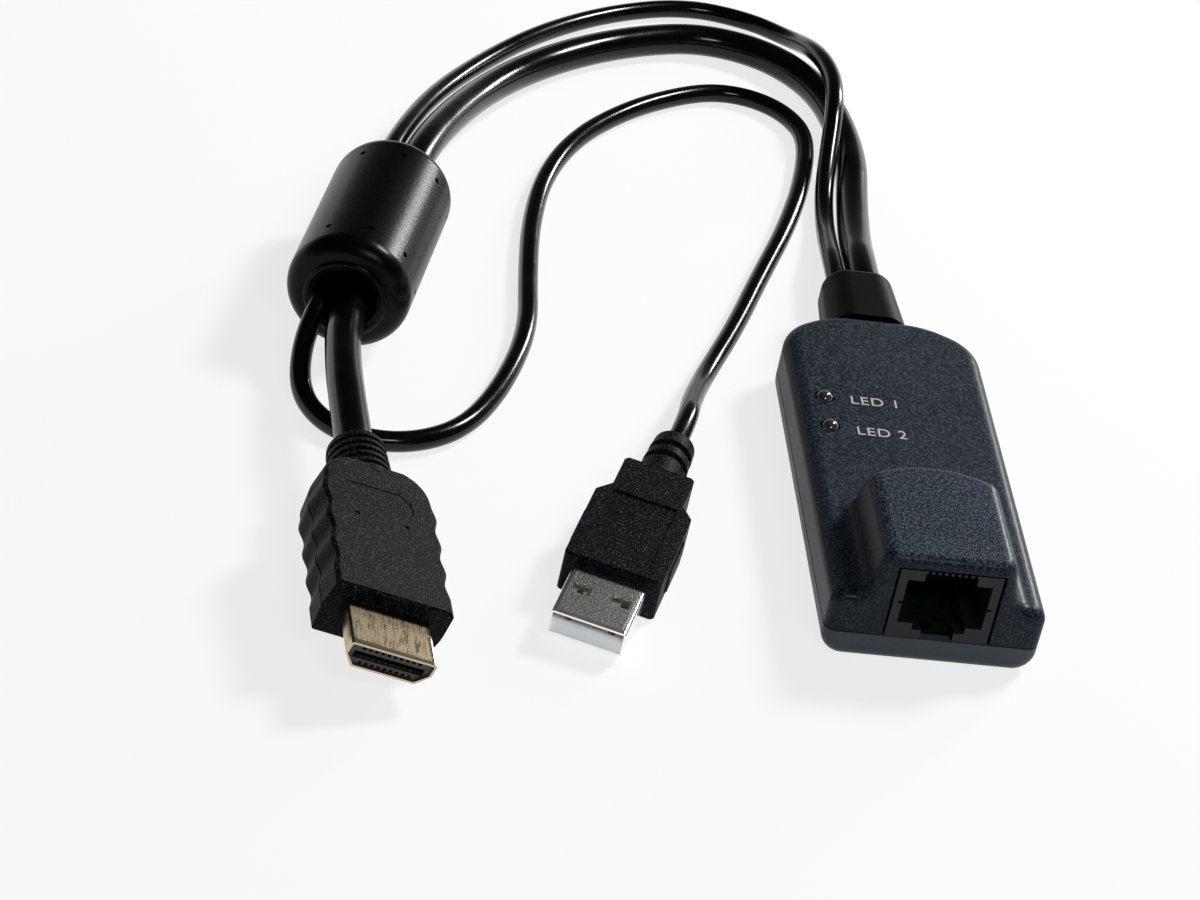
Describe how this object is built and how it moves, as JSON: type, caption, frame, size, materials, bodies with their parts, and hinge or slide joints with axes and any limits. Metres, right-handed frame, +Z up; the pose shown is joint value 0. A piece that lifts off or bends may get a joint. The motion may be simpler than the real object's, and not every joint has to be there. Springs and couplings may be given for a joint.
{
  "type": "network-jack kvm dongle with moulded leads",
  "caption": "Small moulded case with a modular network jack under a raised hood, two indicator lamps, and a forked lead through a ferrite bead to a video plug and a data plug.",
  "frame": {"origin": "on the resting surface, under the middle of the case and cable boot taken together", "axes": "+Z up, +Y from the jack towards the cable boot, +X to the right seen from the jack's end"},
  "size_m": [0.1175, 0.2271, 0.021],
  "materials": {
    "case_plastic": "fine-textured bluish charcoal moulding",
    "case_base_plastic": "smooth satin charcoal moulding",
    "screw_steel": "zinc-plated steel",
    "board_laminate": "green soldermask laminate",
    "jack_plastic": "dark grey moulding",
    "contact_gold": "gold-plated spring contact",
    "lamp_clear": "clear domed lens",
    "chip_resin": "black moulded resin",
    "can_metal": "bare metal can",
    "header_plastic": "natural nylon",
    "wire_insulation": "coloured wire insulation",
    "boot_rubber": "matt black rubber",
    "cable_jacket": "glossy black cable jacket",
    "ferrite_cover": "satin black moulding",
    "ferrite_ceramic": "dark grey ferrite ceramic",
    "grip_plastic": "fine-textured black moulding",
    "gold_shell": "gold-plated shell",
    "nickel_shell": "nickel-plated steel",
    "insert_plastic": "black insulator",
    "tongue_plastic": "pale blue-white insulator"
  },
  "bodies": {
    "root": {"top_cover": "case_plastic", "bottom_cover": "case_base_plastic", "case_screws": "screw_steel", "circuit_board": "board_laminate", "jack_housing": "jack_plastic", "jack_contacts": "contact_gold", "power_lamp": "lamp_clear", "active_lamp": "lamp_clear", "main_chip": "chip_resin", "network_chip": "chip_resin", "line_transformer": "chip_resin", "crystal": "can_metal", "capacitors": "can_metal", "wire_header": "header_plastic", "inner_wires": "wire_insulation", "cable_boot": "boot_rubber", "video_cable": "cable_jacket", "data_cable": "cable_jacket", "ferrite_core": "ferrite_ceramic", "ferrite_jacket": "ferrite_cover", "video_plug_body": "grip_plastic", "video_plug_shell": "gold_shell", "video_plug_insert": "insert_plastic", "video_plug_contacts": "contact_gold", "data_plug_body": "grip_plastic", "data_plug_shell": "nickel_shell", "data_plug_tongue": "tongue_plastic", "data_plug_contacts": "contact_gold"}
  },
  "joints": []
}
